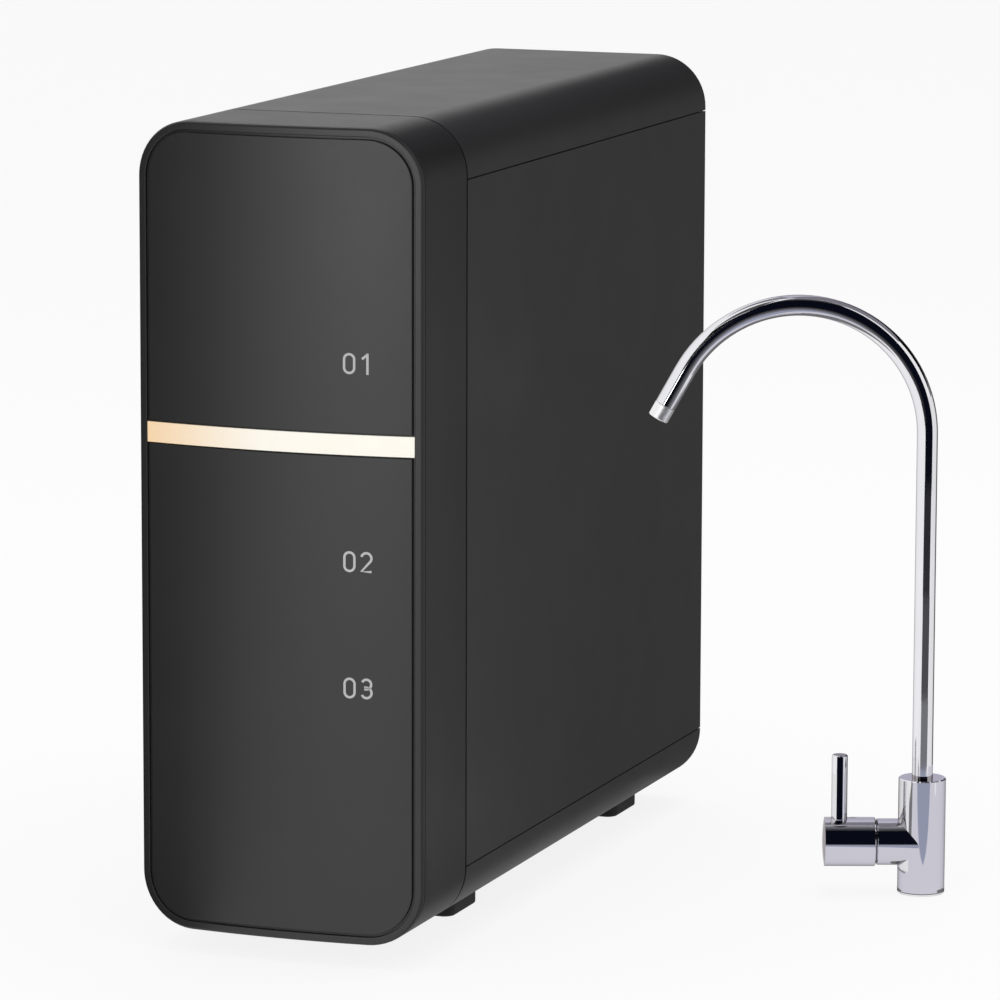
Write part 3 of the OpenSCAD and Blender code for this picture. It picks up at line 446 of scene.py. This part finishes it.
def shown_as_background(tree):
    """1 for rays that see the background: from the camera, a reflection or glass."""
    path = tree.nodes.new("ShaderNodeLightPath")
    either = tree.nodes.new("ShaderNodeMath")
    either.operation = "MAXIMUM"
    tree.links.new(path.outputs["Is Camera Ray"], either.inputs[0])
    tree.links.new(path.outputs["Is Glossy Ray"], either.inputs[1])
    any_ray = tree.nodes.new("ShaderNodeMath")
    any_ray.operation = "MAXIMUM"
    tree.links.new(either.outputs[0], any_ray.inputs[0])
    tree.links.new(path.outputs["Is Transmission Ray"], any_ray.inputs[1])
    return any_ray.outputs[0]


def make_world(fill):
    """White world that lights the object at the given strength."""
    world = bpy.data.worlds.new("studio")
    world.use_nodes = True
    scene.world = world
    tree = world.node_tree
    tree.nodes.clear()
    seen = tree.nodes.new("ShaderNodeBackground")
    seen.inputs["Color"].default_value = (1, 1, 1, 1)
    lit = tree.nodes.new("ShaderNodeBackground")
    lit.inputs["Color"].default_value = (1, 1, 1, 1)
    lit.inputs["Strength"].default_value = fill
    mix = tree.nodes.new("ShaderNodeMixShader")
    output = tree.nodes.new("ShaderNodeOutputWorld")
    tree.links.new(shown_as_background(tree), mix.inputs["Fac"])
    tree.links.new(lit.outputs[0], mix.inputs[1])
    tree.links.new(seen.outputs[0], mix.inputs[2])
    tree.links.new(mix.outputs[0], output.inputs["Surface"])


def make_floor(size, shadow_share):
    """Pale floor; a share of its plain shading shows, so that it keeps the object's shadow."""
    bpy.ops.mesh.primitive_plane_add(size=size)
    floor = bpy.context.object
    floor.name = "floor"
    material, shader = new_material("pale_floor", FLOOR_TONE, FLOOR_ROUGHNESS)
    shader.inputs["Specular IOR Level"].default_value = 0
    tree = material.node_tree
    glow = tree.nodes.new("ShaderNodeEmission")
    share = tree.nodes.new("ShaderNodeMath")
    share.operation = "MULTIPLY"
    share.inputs[1].default_value = 1 - shadow_share
    mix = tree.nodes.new("ShaderNodeMixShader")
    tree.links.new(shown_as_background(tree), share.inputs[0])
    tree.links.new(share.outputs[0], mix.inputs["Fac"])
    tree.links.new(shader.outputs[0], mix.inputs[1])
    tree.links.new(glow.outputs[0], mix.inputs[2])
    tree.links.new(mix.outputs[0], tree.nodes["Material Output"].inputs["Surface"])
    floor.data.materials.append(material)


def make_lamp(name, spot, aim, size, power, mirrored=True):
    """Soft rectangular lamp, which shows in reflections where it is mirrored."""
    lamp = bpy.data.lights.new(name, "AREA")
    lamp.shape = "RECTANGLE"
    lamp.size, lamp.size_y = size
    lamp.energy = power
    placed = bpy.data.objects.new(name, lamp)
    placed.location = spot
    placed.rotation_mode = "QUATERNION"
    placed.rotation_quaternion = (Vector(aim) - Vector(spot)).to_track_quat("-Z", "Y")
    placed.visible_glossy = mirrored
    scene.collection.objects.link(placed)


make_world(fill=0.7)
make_floor(size=40, shadow_share=0.14)
make_lamp("top_softbox", spot=(0.2, 0.3, 2.4), aim=(0.05, 0, 0.2), size=(2.2, 2.2), power=22, mirrored=False)
make_lamp("front_softbox", spot=(-0.25, -2.5, 0.75), aim=(0.0, 0, 0.2), size=(1.0, 1.3), power=14)


# Studio cards, which only show in reflections

HIDDEN_FROM = ("camera", "diffuse", "transmission", "volume_scatter", "shadow")


def one_sided(tree, shader):
    """Lets the back of a card pass light, so that it shows on one side only."""
    side = tree.nodes.new("ShaderNodeNewGeometry")
    clear = tree.nodes.new("ShaderNodeBsdfTransparent")
    mix = tree.nodes.new("ShaderNodeMixShader")
    tree.links.new(side.outputs["Backfacing"], mix.inputs["Fac"])
    tree.links.new(shader.outputs[0], mix.inputs[1])
    tree.links.new(clear.outputs[0], mix.inputs[2])
    tree.links.new(mix.outputs[0], tree.nodes["Material Output"].inputs["Surface"])


def make_card(name, tone, near, far, back=True):
    """Card between two rows of points."""
    count = len(near)
    faces = [(k, k + 1, count + k + 1, count + k) for k in range(count - 1)]
    mesh = bpy.data.meshes.new(name)
    mesh.from_pydata(near + far, [], faces)
    material, shader = new_material(name, (0, 0, 0), 1.0)
    material.cycles.emission_sampling = "NONE"
    shader.inputs["Specular IOR Level"].default_value = 0
    shader.inputs["Emission Color"].default_value = (*tone, 1)
    shader.inputs["Emission Strength"].default_value = 1
    if not back:
        one_sided(material.node_tree, shader)
    mesh.materials.append(material)
    card = bpy.data.objects.new(name, mesh)
    scene.collection.objects.link(card)
    for ray in HIDDEN_FROM:
        setattr(card, "visible_" + ray, False)


def edge(centre, radius, height, start, end, steps=24):
    """Points round a centre on the floor; bearing 0 is straight ahead of the front, 90 to its right."""
    turns = [math.radians(start + (end - start) * k / steps) for k in range(steps + 1)]
    return [(centre[0] + radius * math.sin(t), centre[1] - radius * math.cos(t), height) for t in turns]


def level_card(name, tone, centre, radii, height, bearings):
    """Level card between two arcs round a centre."""
    near, far = [edge(centre, radius, height, *bearings) for radius in radii]
    make_card(name, tone, near, far)


def wall_card(name, tone, centre, radius, heights, bearings, back=True):
    """Upright card on an arc round a centre, between two heights."""
    near, far = [edge(centre, radius, height, *bearings) for height in heights]
    make_card(name, tone, near, far, back)


def strip_card(name, tone, across, along):
    """Level card on the floor, beside the case or under it."""
    near, far = [[(x, y, LIFT) for y in along] for x in across]
    make_card(name, tone, near, far)


def standing_card(name, tone, foot, height):
    """One-sided card that stands upright on a straight line on the floor."""
    near, far = [[(x, y, z) for x, y in foot] for z in (0, height)]
    make_card(name, tone, near, far, back=False)


# Places on the floor that cards stand round, and the sides of the case
SIDE_FOOT = (0.08, 0.03)
FRONT_FOOT = (-0.04, -0.22)
TAP_FOOT = (0.2545, 0.041)
PIN_FOOT = (0.2142, 0.0261)
CASE_X = 0.075
CASE_Y = 0.215
CASE_Z = 0.41
EDGE_X = 0.087
STRIP_X = 0.5
STRIP_Y = (-0.25, 0.2)
TAP_SIDE_X = 0.078
DISC_X = 0.08
LIFT = 1 * MM
CEILING = 2.9

# Tones of the cards
BLACK = (0.004, 0.004, 0.004)
NAVY = (0.003, 0.004, 0.009)
DUSK = (0.08, 0.08, 0.08)
CHARCOAL = (0.20, 0.20, 0.20)
MAUVE = (0.23, 0.215, 0.25)
SLATE = (0.34, 0.36, 0.47)
SILVER = (0.45, 0.45, 0.45)
STONE = (0.55, 0.55, 0.55)
LILAC = (0.58, 0.57, 0.66)
PALE_LILAC = (0.70, 0.69, 0.75)
CLEAR = (0.90, 0.90, 0.90)
WHITE = (1.0, 1.0, 1.0)
COOL_WHITE = (0.98, 1.0, 1.2)

# Dark floor and walls that the case shows
# painted shade: this card stands for the floor's shadow under the case in the case's reflections
strip_card("under_shade_card", STONE, (-CASE_X, CASE_X), (-CASE_Y, CASE_Y))
strip_card("side_edge_card", STONE, (CASE_X, EDGE_X), STRIP_Y)
strip_card("side_strip_card", CHARCOAL, (EDGE_X, STRIP_X), STRIP_Y)
level_card("side_floor_card", CHARCOAL, SIDE_FOOT, radii=(0.02, 3), height=LIFT, bearings=(104, 205))
wall_card("side_low_card", CHARCOAL, SIDE_FOOT, radius=3, heights=(0, 0.8), bearings=(115, 194))
wall_card("side_wall_card", BLACK, SIDE_FOOT, radius=3, heights=(0.8, 4), bearings=(115, 194))
level_card("front_floor_card", BLACK, FRONT_FOOT, radii=(0.03, 2.2), height=LIFT, bearings=(-150, -31))
wall_card("front_wall_card", BLACK, FRONT_FOOT, radius=2.2, heights=(0, 1.2), bearings=(-105, -31))
wall_card("front_upper_card", BLACK, FRONT_FOOT, radius=2.0, heights=(0.5, 2.2), bearings=(-60, 30))
level_card("overhead_card", DUSK, FRONT_FOOT, radii=(0.1, 2.6), height=3, bearings=(-42, 5))
standing_card("rim_card", SILVER, foot=[(0.088, -0.2), (0.3, -1.3)], height=0.45)

# Floor that the tap shows, from its foot outwards
level_card("tap_floor_card", PALE_LILAC, TAP_FOOT, radii=(0.0155, 0.3), height=2 * LIFT, bearings=(-30, 110))
make_card("tap_near_card", SLATE,
          near=edge(TAP_FOOT, radius=0.075, height=3 * LIFT, start=22, end=26),
          far=edge(TAP_FOOT, radius=0.3, height=3 * LIFT, start=-8, end=55))
wall_card("body_left_card", CLEAR, TAP_FOOT, radius=0.06, heights=(0.06, 0), bearings=(-125, -42), back=False)
wall_card("body_right_card", PALE_LILAC, TAP_FOOT, radius=0.04, heights=(0.06, 0), bearings=(78, 165),
          back=False)
level_card("body_floor_card", PALE_LILAC, TAP_FOOT, radii=(0.0155, 0.055), height=1.2 * LIFT,
           bearings=(110, 330))
level_card("knob_floor_card", PALE_LILAC, PIN_FOOT, radii=(0.001, 0.09), height=1.5 * LIFT,
           bearings=(-25, 100))
for name, grey, near, far in (("a", 0.20, 0.3, 0.5), ("b", 0.08, 0.5, 0.85), ("c", 0.03, 0.85, 1.3)):
    make_card("tap_mid_card_" + name, (grey, grey, 1.1 * grey),
              near=edge(TAP_FOOT, near, height=3 * LIFT, start=-10, end=66),
              far=edge(TAP_FOOT, far, height=3 * LIFT, start=-7, end=70))

# Walls and ceiling that the tap shows
wall_card("tap_wall_card", NAVY, TAP_FOOT, radius=1.3, heights=(0, CEILING), bearings=(-5, 76))
for name, grey, radii in (("a", 0.06, (1.3, 0.75)), ("b", 0.16, (0.75, 0.35)), ("c", 0.24, (0.35, 0.02))):
    level_card("tap_ceiling_card_" + name, (grey, grey, 1.1 * grey), TAP_FOOT, radii, CEILING,
               bearings=(-5, 90))
level_card("tap_over_card", MAUVE, TAP_FOOT, radii=(0.02, 2), height=CEILING, bearings=(95, 270))
wall_card("tap_rear_card", MAUVE, TAP_FOOT, radius=1, heights=(1, 2.3), bearings=(95, 200))
wall_card("tap_right_card", CLEAR, TAP_FOOT, radius=0.25, heights=(0.29, 0), bearings=(78, 140), back=False)
standing_card("tap_left_card", WHITE, foot=[(TAP_SIDE_X, -CASE_Y), (TAP_SIDE_X, CASE_Y)], height=CASE_Z)
standing_card("tap_back_card", LILAC, foot=[(TAP_SIDE_X, CASE_Y), (TAP_SIDE_X, 2)], height=1.5)
standing_card("disc_card", COOL_WHITE, foot=[(DISC_X, 0.5), (DISC_X, 0.85)], height=0.27)
wall_card("pin_card", NAVY, PIN_FOOT, radius=0.009, heights=(0.0745, 0.038), bearings=(-14, 56), back=False)
standing_card("knob_end_card", PALE_LILAC, foot=[(0.165, 0.059), (0.205, 0.077)], height=0.03)

scene.view_settings.view_transform = "Standard"
